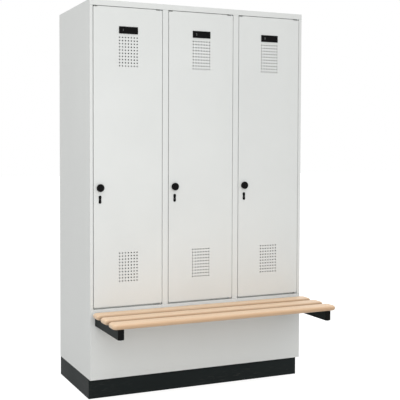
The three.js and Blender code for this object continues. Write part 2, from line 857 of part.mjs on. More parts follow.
// Each door hangs in a group whose origin is its hinge axis, and its knob in a group
// whose origin is where the spindle leaves the door's face
for (const room of compartments) {
  const door = new THREE.Group();
  door.position.set(room.hingeX, hingeY, 0);
  addPiece(door, `door_${room.number}`, doorPanel(), lightGrey);
  addPiece(door, `label_holder_${room.number}`, labelHolder(), black);
  addPiece(door, `hinge_pin_upper_${room.number}`, hingePin(true), steel);
  addPiece(door, `hinge_pin_lower_${room.number}`, hingePin(false), steel);
  addPiece(door, `key_plate_${room.number}`, keyPlate(), black);
  addPiece(door, `lock_case_${room.number}`, lockCase(), steel);
  addPiece(door, `lock_bolt_${room.number}`, lockBolt(), steel);
  const latch = new THREE.Group();
  latch.position.set(doorLeft + latchInset, doorFace, latchHeight);
  addPiece(latch, `turn_knob_${room.number}`, turnKnob(), black);
  addPiece(latch, `latch_cam_${room.number}`, latchCam(), steel);
  door.add(latch);
  unit.add(door);
}

for (const [side, label] of [[-1, 'left'], [1, 'right']]) {
  addPiece(unit, `bench_arm_${label}`, benchArm(side), black);
  addPiece(unit, `arm_cap_${label}`, armCap(side), black);
  addPiece(unit, `arm_bearer_${label}`, armBearer(side), black);
}
['rear', 'middle', 'front'].slice(0, slatCount).forEach((label, index) => {
  addPiece(unit, `bench_slat_${label}`, benchSlat(index), beech);
});

export default unit;
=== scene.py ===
# Looks of a three-door steel locker unit with a slatted beech bench, dressed around its frame.
# Lengths are in metres unless a comment says otherwise. X runs to the right, Y to the back
# and Z up.
import json
import math

import bmesh
import bpy
import numpy as np
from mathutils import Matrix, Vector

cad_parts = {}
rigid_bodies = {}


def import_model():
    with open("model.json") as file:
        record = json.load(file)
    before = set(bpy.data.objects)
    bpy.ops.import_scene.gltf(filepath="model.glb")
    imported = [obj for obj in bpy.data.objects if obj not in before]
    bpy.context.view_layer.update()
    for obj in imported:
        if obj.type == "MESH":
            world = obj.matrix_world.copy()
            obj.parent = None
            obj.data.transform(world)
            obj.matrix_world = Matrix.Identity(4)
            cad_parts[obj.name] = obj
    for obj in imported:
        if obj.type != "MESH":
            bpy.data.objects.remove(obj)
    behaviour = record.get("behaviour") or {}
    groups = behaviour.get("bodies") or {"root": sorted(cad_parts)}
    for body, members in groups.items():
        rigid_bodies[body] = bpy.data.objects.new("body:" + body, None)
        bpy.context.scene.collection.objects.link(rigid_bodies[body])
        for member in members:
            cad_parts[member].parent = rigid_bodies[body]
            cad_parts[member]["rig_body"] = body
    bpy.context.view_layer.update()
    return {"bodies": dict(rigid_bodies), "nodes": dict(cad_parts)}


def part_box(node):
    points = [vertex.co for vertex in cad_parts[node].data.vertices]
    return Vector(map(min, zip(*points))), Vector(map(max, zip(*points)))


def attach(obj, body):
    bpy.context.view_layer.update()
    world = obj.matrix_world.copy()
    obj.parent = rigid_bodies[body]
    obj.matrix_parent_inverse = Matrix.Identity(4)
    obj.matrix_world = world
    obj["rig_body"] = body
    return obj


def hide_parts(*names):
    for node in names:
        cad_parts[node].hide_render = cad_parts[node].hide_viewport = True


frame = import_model()
nodes = frame["nodes"]
doors = sorted(body[-1] for body in frame["bodies"] if body.startswith("door_"))

# Camera, at the photograph's viewing angle; its lens and sensor are in millimetres
CAMERA_PLACE = (-1.8332, -3.6443, 1.2284)
CAMERA_TURN = math.radians(-21.592)
CAMERA_PITCH = math.radians(-2.107)
CAMERA_LENS = 70.15
CAMERA_SENSOR = 36
CAMERA_SHIFT = (0.191, -0.055)

# Light; the lamps' powers are in watts
WHITE = (1, 1, 1, 1)
SKY_LIGHT = 0.72
FLOOR_SIZE = 60
FLOOR_BOUNCE = 0.45
FLOOR_OWN_LIGHT = 0.86
FLOOR_SHADE = 0.3
STUDIO_LAMP = {
    "place": (-1.15, -3.0, 1.55),
    "target": (0, 0, 1.2),
    "size": (1.8, 1.8),
    "power": 36,
}
SIDE_LAMP = {
    "place": (-1.75, 0.16, 1.9),
    "target": (-0.6, 0.16, 1.6),
    "size": (0.5, 0.5),
    "power": 1.15,
}
OVERHEAD_STRENGTH = 1.45
OVERHEAD_SPREAD = math.radians(50)
OVERHEAD_TILT = math.radians(2)


def linear(red, green, blue):
    """A colour in screen values from 0 to 255, as linear values with full alpha."""
    values = np.array((red, green, blue)) / 255
    bright = ((values + 0.055) / 1.055) ** 2.4
    return (*np.where(values <= 0.04045, values / 12.92, bright).tolist(), 1.0)


def box(node):
    """A node's lowest and highest corners."""
    low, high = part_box(node)
    return np.array(low), np.array(high)


def box_middle(low, high, levels_along=None):
    """The middle of a box, with 0 on the axis along which a shape brings its own levels."""
    middle = (low + high) / 2
    if levels_along:
        middle["XYZ".index(levels_along)] = 0
    return middle


# Node groups for the effects that several finishes share


def shader_group(name, inputs, outputs):
    """A node group with named sockets; returns it with its first and last node."""
    group = bpy.data.node_groups.new(name, "ShaderNodeTree")
    kind = "NodeSocketFloat"
    for label, value in inputs.items():
        socket = group.interface.new_socket(label, in_out="INPUT", socket_type=kind)
        socket.default_value = value
    for label in outputs:
        group.interface.new_socket(label, in_out="OUTPUT", socket_type=kind)
    return group, group.nodes.new("NodeGroupInput"), group.nodes.new("NodeGroupOutput")


def feed(tree, socket, value):
    """A node's output is linked to the socket; a number or colour is set on it."""
    if isinstance(value, bpy.types.NodeSocket):
        tree.links.new(value, socket)
    else:
        socket.default_value = value


def worked_out(tree, kind, operation, values):
    """The result of a math node; each value is a number or another node's output."""
    node = tree.nodes.new(kind)
    node.operation = operation
    for socket, value in zip(node.inputs, values):
        feed(tree, socket, value)
    return node.outputs[0]


def vector_math(tree, operation, *values):
    return worked_out(tree, "ShaderNodeVectorMath", operation, values)


def number_math(tree, operation, *values):
    return worked_out(tree, "ShaderNodeMath", operation, values)


def noise(tree, place, detail=2.0, roughness=0.5, distortion=0.0):
    """Noise over the place, about one unit from one bump to the next."""
    node = tree.nodes.new("ShaderNodeTexNoise")
    node.inputs["Scale"].default_value = 1
    node.inputs["Detail"].default_value = detail
    node.inputs["Roughness"].default_value = roughness
    node.inputs["Distortion"].default_value = distortion
    tree.links.new(place, node.inputs["Vector"])
    return node.outputs[0]


def stretched_noise(tree, place, scale, **settings):
    """Noise that is finer along each axis by its scale."""
    return noise(tree, vector_math(tree, "MULTIPLY", place, scale), **settings)


def remap(tree, value, start, end, low=0.0, high=1.0):
    """The value's range from start to end, spread from low to high and held there."""
    node = tree.nodes.new("ShaderNodeMapRange")
    node.inputs["From Min"].default_value = start
    node.inputs["From Max"].default_value = end
    node.inputs["To Min"].default_value = low
    node.inputs["To Max"].default_value = high
    tree.links.new(value, node.inputs["Value"])
    return node.outputs[0]


# The Mix node's mask and colours, among the sockets that it has for other kinds of value
MIX_MASK, MIX_FIRST, MIX_SECOND = 0, 6, 7
MIX_RESULT = 2


def mix_colours(tree, mask, first, second):
    """first where the mask is 0 and second where it is 1; either may be a socket."""
    node = tree.nodes.new("ShaderNodeMix")
    node.data_type = "RGBA"
    tree.links.new(mask, node.inputs[MIX_MASK])
    feed(tree, node.inputs[MIX_FIRST], first)
    feed(tree, node.inputs[MIX_SECOND], second)
    return node.outputs[MIX_RESULT]


def object_place(tree):
    return tree.nodes.new("ShaderNodeTexCoord").outputs["Object"]


def along_axis(tree, place, axis):
    node = tree.nodes.new("ShaderNodeSeparateXYZ")
    tree.links.new(place, node.inputs[0])
    return node.outputs[axis]


PEEL_SIZE = 0.0016
PEEL_DETAIL = 1.5
MOTTLE_SIZE = 0.35
MOTTLE_DETAIL = 4.0
MOTTLE_RANGE = (0.32, 0.68)


def coat_texture():
    """Powder coat and mouldings: a fine peel of rounded bumps, and slow mottling."""
    group, start, end = shader_group(
        "coat texture",
        {"Peel size": PEEL_SIZE, "Mottle size": MOTTLE_SIZE},
        ("Height", "Mottle"),
    )
    place = object_place(group)
    peel_place = vector_math(group, "DIVIDE", place, start.outputs["Peel size"])
    mottle_place = vector_math(group, "DIVIDE", place, start.outputs["Mottle size"])
    mottle = noise(group, mottle_place, detail=MOTTLE_DETAIL)
    group.links.new(noise(group, peel_place, detail=PEEL_DETAIL), end.inputs["Height"])
    group.links.new(remap(group, mottle, *MOTTLE_RANGE), end.inputs["Mottle"])
    return group


SCUFF_HEIGHT = 0.16
SCUFF_STREAKS = {"scale": (22, 22, 240), "detail": 3.0, "roughness": 0.6, "distortion": 0.4}
SCUFF_STREAK_RANGE = (0.56, 0.7)
SCUFF_PATCHES = {"scale": (5, 5, 9)}
SCUFF_PATCH_RANGE = (0.45, 0.6)


def low_scuffs():
    """Short level scuffs where feet and brooms touch; they fade out up to a height."""
    group, start, end = shader_group("low scuffs", {"Fade height": SCUFF_HEIGHT}, ("Mask",))
    place = object_place(group)
    streaks = remap(group, stretched_noise(group, place, **SCUFF_STREAKS), *SCUFF_STREAK_RANGE)
    patches = remap(group, stretched_noise(group, place, **SCUFF_PATCHES), *SCUFF_PATCH_RANGE)
    height = along_axis(group, place, "Z")
    share = number_math(group, "DIVIDE", height, start.outputs["Fade height"])
    low = remap(group, share, start=0.0, end=1.0, low=1.0, high=0.0)
    marks = number_math(group, "MULTIPLY", streaks, patches)
    group.links.new(number_math(group, "MULTIPLY", marks, low), end.inputs["Mask"])
    return group


# Each figure of the wood: its noise, and the range of it that shows
BEECH_FIGURES = {
    "Bands": ({"scale": (1.6, 62, 62), "detail": 3.0, "distortion": 0.7}, (0.34, 0.66)),
    "Streaks": ({"scale": (7, 420, 420), "detail": 4.0, "roughness": 0.62}, (0.36, 0.66)),
    "Flecks": ({"scale": (300, 1900, 1900), "detail": 1.0}, (0.62, 0.7)),
}


def beech_grain():
    """Beech sawn along X: broad growth bands, fine streaks and short dark flecks."""
    group, start, end = shader_group("beech grain", {"Board": 0.0}, list(BEECH_FIGURES))
    shift = group.nodes.new("ShaderNodeCombineXYZ")
    for socket in shift.inputs:
        group.links.new(start.outputs["Board"], socket)
    place = vector_math(group, "ADD", object_place(group), shift.outputs[0])
    for label, (settings, shown) in BEECH_FIGURES.items():
        figure = stretched_noise(group, place, **settings)
        group.links.new(remap(group, figure, *shown), end.inputs[label])
    return group


LINE_SIZE = 0.0004
LINE_NOISE = {"scale": (0.02, 1, 1), "roughness": 0.6}
CLOUD_NOISE = {"scale": (35, 35, 35), "detail": 4.0, "roughness": 0.6}
CLOUD_RANGE = (0.35, 0.65)


def drawn_lines():
    """Fine lines along X, as on drawn or brushed steel, with slow cloudy plating."""
    group, start, end = shader_group("drawn lines", {"Line size": LINE_SIZE}, ("Height", "Clouds"))
    place = object_place(group)
    line_place = vector_math(group, "DIVIDE", place, start.outputs["Line size"])
    lines = stretched_noise(group, line_place, **LINE_NOISE)
    clouds = stretched_noise(group, place, **CLOUD_NOISE)
    group.links.new(lines, end.inputs["Height"])
    group.links.new(remap(group, clouds, *CLOUD_RANGE), end.inputs["Clouds"])
    return group


COAT = coat_texture()
SCUFFS = low_scuffs()
GRAIN = beech_grain()
LINES = drawn_lines()


# Finishes


def finish(name, metallic=0.0, specular=0.5, coat=0.0, coat_roughness=0.2):
    """A material with its plain values on the shader's own sockets."""
    material = bpy.data.materials.new(name)
    material.use_nodes = True
    shader = material.node_tree.nodes["Principled BSDF"]
    shader.inputs["Metallic"].default_value = metallic
    shader.inputs["Specular IOR Level"].default_value = specular
    shader.inputs["Coat Weight"].default_value = coat
    shader.inputs["Coat Roughness"].default_value = coat_roughness
    return material, material.node_tree, shader


def use_group(tree, group, **values):
    """A group's outputs, with its inputs set by name; an underscore stands for a space."""
    node = tree.nodes.new("ShaderNodeGroup")
    node.node_tree = group
    for name, value in values.items():
        node.inputs[name.replace("_", " ")].default_value = value
    return node.outputs


def cover(tree, shader, colour, sheen, roughness, height, relief):
    """Colour, a roughness that goes from low to high with the sheen mask, and a relief,
    given as its strength and its depth."""
    tree.links.new(colour, shader.inputs["Base Color"])
    tree.links.new(remap(tree, sheen, 0.0, 1.0, *roughness), shader.inputs["Roughness"])
    strength, depth = relief
    bump = tree.nodes.new("ShaderNodeBump")
    bump.inputs["Strength"].default_value = strength
    bump.inputs["Distance"].default_value = depth
    tree.links.new(height, bump.inputs["Height"])
    tree.links.new(bump.outputs["Normal"], shader.inputs["Normal"])


COAT_RELIEF_STRENGTH = 0.35
LINE_RELIEF = (0.15, 0.00005)


def coated(name, light, dark, roughness, peel, relief_depth, specular=0.5, scuff=None):
    """Powder coat or moulded plastic: two near colours, a peel, and scuffs if they have a
    colour."""
    material, tree, shader = finish(name, specular=specular)
    texture = use_group(tree, COAT, Peel_size=peel)
    mottle = texture["Mottle"]
    colour = mix_colours(tree, mottle, dark, light)
    if scuff:
        marks = use_group(tree, SCUFFS, Fade_height=SCUFF_HEIGHT)
        colour = mix_colours(tree, marks["Mask"], colour, scuff)
    relief = (COAT_RELIEF_STRENGTH, relief_depth)
    cover(tree, shader, colour, mottle, roughness, texture["Height"], relief)
    return material


def plated(name, light, dark, roughness):
    """Plated steel with drawn lines and a cloudy sheen."""
    material, tree, shader = finish(name, metallic=1.0)
    texture = use_group(tree, LINES, Line_size=LINE_SIZE)
    clouds = texture["Clouds"]
    colour = mix_colours(tree, clouds, dark, light)
    cover(tree, shader, colour, clouds, roughness, texture["Height"], LINE_RELIEF)
    return material


BEECH_LIGHT = linear(227, 203, 174)
BEECH_WARM = linear(216, 185, 151)
BEECH_VEIN = linear(199, 161, 125)
BEECH_VEIN_SHARE = 0.55
BEECH_FLECK = linear(150, 111, 80)
BEECH_FLECK_SHARE = 0.5
# Painted shade on the boards' rounded long edges, which get less light from above than the tops;
# the darker gap shade is painted on the edges that face a gap between boards
BEECH_FRONT_EDGE_SHADE = linear(182, 147, 112)
BEECH_GAP_SHADE = linear(142, 108, 76)
BEECH_EDGE_SHADE_SHARE = 0.8
BEECH_ROUGHNESS = (0.42, 0.56)
BEECH_RELIEF = (0.2, 0.0002)
LACQUER = 0.25
LACQUER_ROUGHNESS = 0.35
SLAT_EDGE = 0.0115


def board_edges(tree, middle, half_width):
    """0 over a board's flat and 1 on its long edges, by the distance from its middle line."""
    across = along_axis(tree, object_place(tree), "Y")
    distance = number_math(tree, "ABSOLUTE", number_math(tree, "SUBTRACT", across, middle))
    return remap(tree, distance, half_width - SLAT_EDGE, half_width)


def beech(name, grain_place, middle, half_width, painted_edge_shade):
    """Lacquered beech; each board takes its grain from another place, and its rounded edges
    carry painted shade in the given colour, where less light falls on them than on the flat."""
    material, tree, shader = finish(name, coat=LACQUER, coat_roughness=LACQUER_ROUGHNESS)
    grain = use_group(tree, GRAIN, Board=grain_place)
    streaks = grain["Streaks"]
    wood = mix_colours(tree, grain["Bands"], BEECH_LIGHT, BEECH_WARM)
    # Grain figures, then painted shade along the rounded edges
    for mask, share, colour in (
        (streaks, BEECH_VEIN_SHARE, BEECH_VEIN),
        (grain["Flecks"], BEECH_FLECK_SHARE, BEECH_FLECK),
        (board_edges(tree, middle, half_width), BEECH_EDGE_SHADE_SHARE, painted_edge_shade),
    ):
        wood = mix_colours(tree, number_math(tree, "MULTIPLY", mask, share), wood, colour)
    cover(tree, shader, wood, streaks, BEECH_ROUGHNESS, streaks, BEECH_RELIEF)
    return material


grey_paint = coated(
    "light grey powder coat",
    light=linear(222, 224, 222),
    dark=linear(218, 220, 218),
    roughness=(0.5, 0.58),
    peel=0.0016,
    relief_depth=0.00006,
    specular=0.3,
    scuff=linear(186, 187, 184),
)
black_paint = coated(
    "black powder coat",
    light=linear(31, 36, 36),
    dark=linear(26, 31, 31),
    roughness=(0.5, 0.6),
    peel=0.0013,
    relief_depth=0.00012,
    specular=0.08,
    scuff=linear(56, 56, 54),
)
black_plastic = coated(
    "moulded black plastic",
    light=linear(12, 12, 12),
    dark=linear(8, 8, 8),
    roughness=(0.42, 0.5),
    peel=0.0006,
    relief_depth=0.00004,
    specular=0.07,
)
black_rubber = coated(
    "black rubber",
    light=linear(22, 22, 22),
    dark=linear(17, 17, 17),
    roughness=(0.75, 0.85),
    peel=0.0008,
    relief_depth=0.00005,
    specular=0.25,
)
label_black = coated(
    "black label plate",
    light=linear(12, 12, 12),
    dark=linear(9, 9, 9),
    roughness=(0.4, 0.46),
    peel=0.0009,
    relief_depth=0.00002,
    specular=0.07,
)
number_grey = coated(
    "grey printed number",
    light=linear(128, 130, 128),
    dark=linear(116, 118, 116),
    roughness=(0.45, 0.55),
    peel=0.0008,
    relief_depth=0.00002,
)
zinc = plated(
    "bright zinc plate",
    light=linear(196, 199, 202),
    dark=linear(168, 172, 176),
    roughness=(0.24, 0.36),
)
dark_steel = plated(
    "dark steel barrel",
    light=linear(46, 47, 49),
    dark=linear(32, 33, 35),
    roughness=(0.3, 0.42),
)


# Mesh tools

MERGE = 1e-6
ON_PLANE = 2e-5
FOLD_RADIUS = 0.0014
FOLD_STEPS = 3
EASE_STEPS = 2
SHARP_FOLD = math.radians(50)
SHARP_EDGE = math.radians(38)
# Left off a corner radius of half a width, so that a full round end keeps its points apart
ROUND_SLACK = 1e-5


def in_scene(name, data):
    thing = bpy.data.objects.new(name, data)
    bpy.context.scene.collection.objects.link(thing)
    return thing


def link_piece(name, mesh, body, material, replaced=()):
    """An object for the mesh, with its finish, its body and the nodes it stands for."""
    mesh.materials.clear()
    mesh.materials.append(material)
    piece = in_scene(name, mesh)
    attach(piece, body)
    if replaced:
        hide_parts(*replaced)
    return piece


def even_normals(piece):
    """Flat faces keep their own normal beside rounded edges."""
    modifier = piece.modifiers.new("even normals", "WEIGHTED_NORMAL")
    modifier.keep_sharp = True


def merge_into(mesh, build, turn_outwards):
    """The build, with its doubles merged and its faces turned outwards if asked, as mesh."""
    bmesh.ops.remove_doubles(build, verts=build.verts, dist=MERGE)
    if turn_outwards:
        bmesh.ops.recalc_face_normals(build, faces=build.faces)
    build.to_mesh(mesh)
    build.free()


def shade(mesh, sharp_angle):
    """Smooth shading, but sharp along the edges that turn by more than the angle."""
    mesh.shade_smooth()
    mesh.set_sharp_from_angle(angle=sharp_angle)


def new_piece(name, shells, body, material, replaced=()):
    """One object from closed shells, each an array of points and a list of faces."""
    build = bmesh.new()
    for points, faces in shells:
        shell = bpy.data.meshes.new("shell")
        shell.from_pydata(points.tolist(), [], faces)
        build.from_mesh(shell)
        bpy.data.meshes.remove(shell)
    mesh = bpy.data.meshes.new(name)
    merge_into(mesh, build, turn_outwards=True)
    shade(mesh, SHARP_EDGE)
    even_normals(link_piece(name, mesh, body, material, replaced))


def grid_faces(rows, columns, closed_rows=False):
    """Quads between neighbouring rows; the columns run round and close."""
    row = np.arange(rows if closed_rows else rows - 1)[:, None]
    column = np.arange(columns)[None, :]
    next_row = (row + 1) % rows
    next_column = (column + 1) % columns
    corners = (
        row * columns + column,
        row * columns + next_column,
        next_row * columns + next_column,
        next_row * columns + column,
    )
    return np.stack(np.broadcast_arrays(*corners), axis=-1).reshape(-1, 4).tolist()


def laid(points, order, centre):
    """Local columns u, v and w put along the axes that order names, round a centre."""
    moved = np.empty_like(points)
    moved[:, ["XYZ".index(axis) for axis in order]] = points
    return moved + np.array(centre)


def placed(shell, order, centre):
    """A shell whose points are laid along the named axes, round a centre."""
    points, faces = shell
    return laid(points, order, centre), faces


def stacked(loops, levels):
    """Flat loops, one at each level along w, as one array of points."""
    rings = [
        np.column_stack((loop, np.full(len(loop), level)))
        for loop, level in zip(loops, levels)
    ]
    return np.concatenate(rings)


def rounded_loop(width, depth, radius, steps=6):
    """A rounded rectangle round the origin: four quarter circles shifted to its corners."""
    angles = np.linspace(0, math.pi / 2, steps + 1)
    across = (width / 2 - radius) * np.array((1, -1, -1, 1))
    along = (depth / 2 - radius) * np.array((1, 1, -1, -1))
    turns = angles[None, :] + np.arange(4)[:, None] * math.pi / 2
    u = across[:, None] + radius * np.cos(turns)
    v = along[:, None] + radius * np.sin(turns)
    return np.column_stack((u.ravel(), v.ravel()))


def rounding(radius, steps):
    """A rounded edge from a face to a side, by quarter turn a: how far the outline is drawn
    in, r (1 - sin a), and how far it has dropped, r (1 - cos a)."""
    turn = np.linspace(0, math.pi / 2, steps + 1)
    return radius * (1 - np.sin(turn)), radius * (1 - np.cos(turn))


def slab(size, corner, edge, edge_steps=4, corner_steps=6):
    """A flat bar: a rounded outline that is drawn in towards both faces by quarter circles."""
    width, depth, thickness = size
    drawn_in, drop = rounding(edge, edge_steps)
    insets = np.concatenate((drawn_in, drawn_in[::-1]))
    levels = np.concatenate((thickness / 2 - drop, (drop - thickness / 2)[::-1]))
    loops = [
        rounded_loop(width - 2 * inset, depth - 2 * inset, corner - inset, corner_steps)
        for inset in insets
    ]
    points = stacked(loops, levels)
    count = len(loops[0])
    ends = [list(range(count)), list(range(len(points) - count, len(points)))]
    return points, grid_faces(len(loops), count) + ends


def filleted(corners, radii, steps=5):
    """A line of corners whose inner ones are rounded by arcs that touch both sides. The arc
    point at share k is the centre plus a blend of both radii by sin((1-k)f) and sin(kf)."""
    corners = np.array(corners, dtype=float)
    share = np.linspace(0, 1, steps + 1)[:, None]
    parts = [corners[:1]]
    for before, corner, after, radius in zip(corners, corners[1:], corners[2:], radii):
        back = (before - corner) / np.linalg.norm(before - corner)
        ahead = (after - corner) / np.linalg.norm(after - corner)
        opening = math.acos(np.clip(back @ ahead, -1, 1))
        middle = (back + ahead) / np.linalg.norm(back + ahead)
        centre = corner + middle * radius / math.sin(opening / 2)
        reach = radius / math.tan(opening / 2)
        first = corner + back * reach - centre
        last = corner + ahead * reach - centre
        sweep = math.pi - opening
        blend = np.sin((1 - share) * sweep) * first + np.sin(share * sweep) * last
        parts.append(centre + blend / math.sin(sweep))
    parts.append(corners[-1:])
    return np.concatenate(parts)


def turned(profile, sides):
    """A turned form round w: each profile point (radius, level) becomes a circle."""
    angle = np.linspace(0, 2 * math.pi, sides, endpoint=False)
    radius, level = profile[:, :1], profile[:, 1:]
    u = radius * np.cos(angle)
    v = radius * np.sin(angle)
    w = np.broadcast_to(level, u.shape)
    points = np.column_stack((u.ravel(), v.ravel(), w.ravel()))
    return points, grid_faces(len(profile), sides)


def round_bar(radius, start, end, fillets, sides):
    """A turned bar along w from start to end, with a fillet on each rim."""
    corners = [(0, start), (radius, start), (radius, end), (0, end)]
    return turned(filleted(corners, fillets), sides)


def ring_of(loops, levels):
    """A closed ring of loops, such as a tube's outer skin and back along its bore."""
    return stacked(loops, levels), grid_faces(len(loops), len(loops[0]), closed_rows=True)


def pipe(outer, inner, start, end):
    """A straight tube along w from start to end."""
    return ring_of([outer, outer, inner, inner], [start, end, end, start])


def swept(path, section_across, section_out, tips):
    """A closed bar along a flat path in v and w. The section's points lie across (u) and out
    along the path's normal; tips shrinks them along the path, to nothing at both ends."""
    direction = np.gradient(path, axis=0)
    direction /= np.linalg.norm(direction, axis=1)[:, None]
    normal = np.column_stack((-direction[:, 1], direction[:, 0]))
    out = tips[:, None] * section_out[None, :]
    u = tips[:, None] * section_across[None, :]
    v = path[:, :1] + normal[:, :1] * out
    w = path[:, 1:] + normal[:, 1:] * out
    points = np.column_stack((u.ravel(), v.ravel(), w.ravel()))
    return points, grid_faces(len(path), len(section_out))


def repeated(shell, places):
    """The same small shell at every place."""
    points, faces = shell
    places = np.array(places)
    every = (places[:, None, :] + points[None, :, :]).reshape(-1, 3)
    starts = [step * len(points) for step in range(len(places))]
    shifted = [[corner + start for corner in face] for start in starts for face in faces]
    return every, shifted


def mesh_points(mesh):
    """The mesh's points, one to a row."""
    points = np.empty(len(mesh.vertices) * 3)
    mesh.vertices.foreach_get("co", points)
    return points.reshape(-1, 3)


def fold_edges(mesh, folds):
    """A mask of the edges that lie on a named side of the mesh's box and on another side."""
    points = mesh_points(mesh)
    ends = np.empty(len(mesh.edges) * 2, dtype=int)
    mesh.edges.foreach_get("vertices", ends)
    ends = ends.reshape(-1, 2)
    at_low = np.abs(points - points.min(axis=0)) < ON_PLANE
    at_high = np.abs(points - points.max(axis=0)) < ON_PLANE
    planes = np.concatenate((at_low, at_high), axis=1)
    edge_planes = planes[ends[:, 0]] & planes[ends[:, 1]]
    chosen = np.zeros(len(ends), dtype=bool)
    for fold in folds:
        side = "XYZ".index(fold[1]) + (3 if fold[0] == "+" else 0)
        others = [plane for plane in range(6) if plane % 3 != side % 3]
        chosen |= edge_planes[:, side] & edge_planes[:, others].any(axis=1)
    return chosen


def bevel_folds(piece, folds):
    """The outer folds along the named sides get a bevel, and lose their sharp mark."""
    mesh = piece.data
    chosen = fold_edges(mesh, folds)
    weight = mesh.attributes.new("bevel_weight_edge", "FLOAT", "EDGE")
    weight.data.foreach_set("value", chosen.astype(np.float32))
    sharp = np.empty(len(mesh.edges), dtype=bool)
    sharp_edge = mesh.attributes["sharp_edge"]
    sharp_edge.data.foreach_get("value", sharp)
    sharp_edge.data.foreach_set("value", sharp & ~chosen)
    bevel = piece.modifiers.new("folds", "BEVEL")
    bevel.limit_method = "WEIGHT"
    bevel.width = FOLD_RADIUS
    bevel.segments = FOLD_STEPS
    bevel.use_clamp_overlap = False


def sheet_copy(node, material, folds=()):
    """A CAD sheet with its doubles merged and its bends shaded round. Along the sides of its
    box that folds names, such as -Y, the outer folds are bevelled as well."""
    mesh = nodes[node].data.copy()
    build = bmesh.new()
    build.from_mesh(mesh)
    merge_into(mesh, build, turn_outwards=False)
    if "custom_normal" in mesh.attributes:
        mesh.attributes.remove(mesh.attributes["custom_normal"])
    shade(mesh, SHARP_FOLD)
    body = nodes[node]["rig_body"]
    piece = link_piece(f"{node}_sheet", mesh, body, material, (node,))
    if folds:
        bevel_folds(piece, folds)
    even_normals(piece)
    return piece


def softened_copy(node, material, ease):
    """A CAD piece with its doubles merged and all its sharp edges eased, by a bevel that
    comes before its even normals."""
    piece = sheet_copy(node, material)
    piece.name = f"{node}_piece"
    bevel = piece.modifiers.new("edges", "BEVEL")
    bevel.limit_method = "ANGLE"
    bevel.angle_limit = SHARP_EDGE
    bevel.width = ease
    bevel.segments = EASE_STEPS
    piece.modifiers.move(len(piece.modifiers) - 1, 0)


# Cabinet

THIN_EASE = 0.0004
THICK_EASE = 0.0006


def dress_cabinet():
    plain = ["side_panel_left", "side_panel_right", "top_panel", "base_front_panel", "back_panel"]
    for number in ("1", "2"):
        plain += [f"partition_stile_{number}", f"partition_web_{number}"]
    for node in plain:
        sheet_copy(node, grey_paint)
    sheet_copy("base_floor", grey_paint, ("-Z",))
    sheet_copy("compartment_floor", grey_paint, ("+Z",))
    for number in doors:
        sheet_copy(f"hat_shelf_{number}", grey_paint, ("+Z",))
    sheet_copy("plinth_frame", black_paint, ("-X", "+X", "-Y", "+Y"))
    for side in ("left", "right"):
        softened_copy(f"arm_bearer_{side}", black_paint, THICK_EASE)


RIVET_RADIUS = 0.0035
RIVET_RISE = 0.0011
RIVET_STEPS = 3
RIVET_SIDES = 12
RIVET_PITCH = 0.18
RIVET_EDGE = 0.011


def add_rivets():
    """Rivet heads on the back, in the rear flanges of the sides. Each is a low dome, radius
    R cos a and height H sin a, from its rim to its pole."""
    low, high = box("back_panel")
    side_low, side_high = box("side_panel_left")
    rise = np.linspace(0, math.pi / 2, RIVET_STEPS + 1)
    dome = np.column_stack((RIVET_RADIUS * np.cos(rise), RIVET_RISE * np.sin(rise)))
    profile = np.concatenate(([[0, 0]], dome))
    head = placed(turned(profile, RIVET_SIDES), "XZY", (0, side_high[1], 0))
    rows = np.arange(low[2] + RIVET_PITCH / 2, high[2], RIVET_PITCH)
    edges = (side_low[0] + RIVET_EDGE, -side_low[0] - RIVET_EDGE)
    places = [(x, 0, z) for x in edges for z in rows]
    new_piece("back_rivets", [repeated(head, places)], "cabinet", zinc)


# Doors

LABEL_POCKET = 0.0014
NUMBER_HEIGHT = 0.015
NUMBER_THICKNESS = 0.0002
NUMBER_PLACE_SHARE = 0.22


def number_mesh(number):
    """The number as a thin mesh round the origin, lying on its back."""
    text = bpy.data.curves.new(f"number_{number}", "FONT")
    text.body = number
    text.size = NUMBER_HEIGHT
    text.align_x = "CENTER"
    text.align_y = "CENTER"
    text.extrude = NUMBER_THICKNESS
    holder = in_scene("number", text)
    bpy.context.view_layer.update()
    graph = bpy.context.evaluated_depsgraph_get()
    mesh = bpy.data.meshes.new_from_object(holder.evaluated_get(graph))
    bpy.data.objects.remove(holder)
    return mesh


def label_number(number):
    """The compartment's plain number, stood upright on its label plate with its face to -Y."""
    low, high = box(f"label_holder_{number}")
    place = (
        low[0] + NUMBER_PLACE_SHARE * (high[0] - low[0]),
        low[1] + LABEL_POCKET - NUMBER_THICKNESS,
        (low[2] + high[2]) / 2,
    )
    mesh = number_mesh(number)
    points = mesh_points(mesh)
    points[:, 2] *= -1
    mesh.vertices.foreach_set("co", laid(points, "XZY", place).ravel())
    build = bmesh.new()
    build.from_mesh(mesh)
    merge_into(mesh, build, turn_outwards=True)
    link_piece(f"number_{number}", mesh, f"door_{number}", number_grey)


KNOB_DISH = 0.0012
KNOB_EDGE = 0.0022
KNOB_NECK = 0.004
KNOB_FILLETS = (0.002, 0.003, 0.002, 0.0012, 0.0008, 0.0003)
KNOB_SIDES = 64
KNOB_CAP = 0.0075
KNOB_CAP_FILLETS = (0.0007, 0.0002)
KNOB_CAP_SIDES = 40
KEY_SLOT = (0.0014, 0.008, 0.0003)
KEY_SLOT_CORNER = 0.0006
KEY_SLOT_EDGE = 0.0001
KEY_SLOT_PROUD = 0.00005


def knob_body(radius, front, foot):
    """A filleted profile, turned: a dish round the cap, the rim, and a neck at the foot."""
    rim = radius - KNOB_EDGE
    corners = [
        (0, front + KNOB_DISH),
        (KNOB_CAP + KNOB_EDGE, front + KNOB_DISH),
        (rim, front),
        (radius, front + KNOB_EDGE),
        (radius, foot - KNOB_NECK - KNOB_EDGE),
        (rim, foot - KNOB_NECK),
        (rim, foot),
        (0, foot),
    ]
    return turned(filleted(corners, KNOB_FILLETS), KNOB_SIDES)


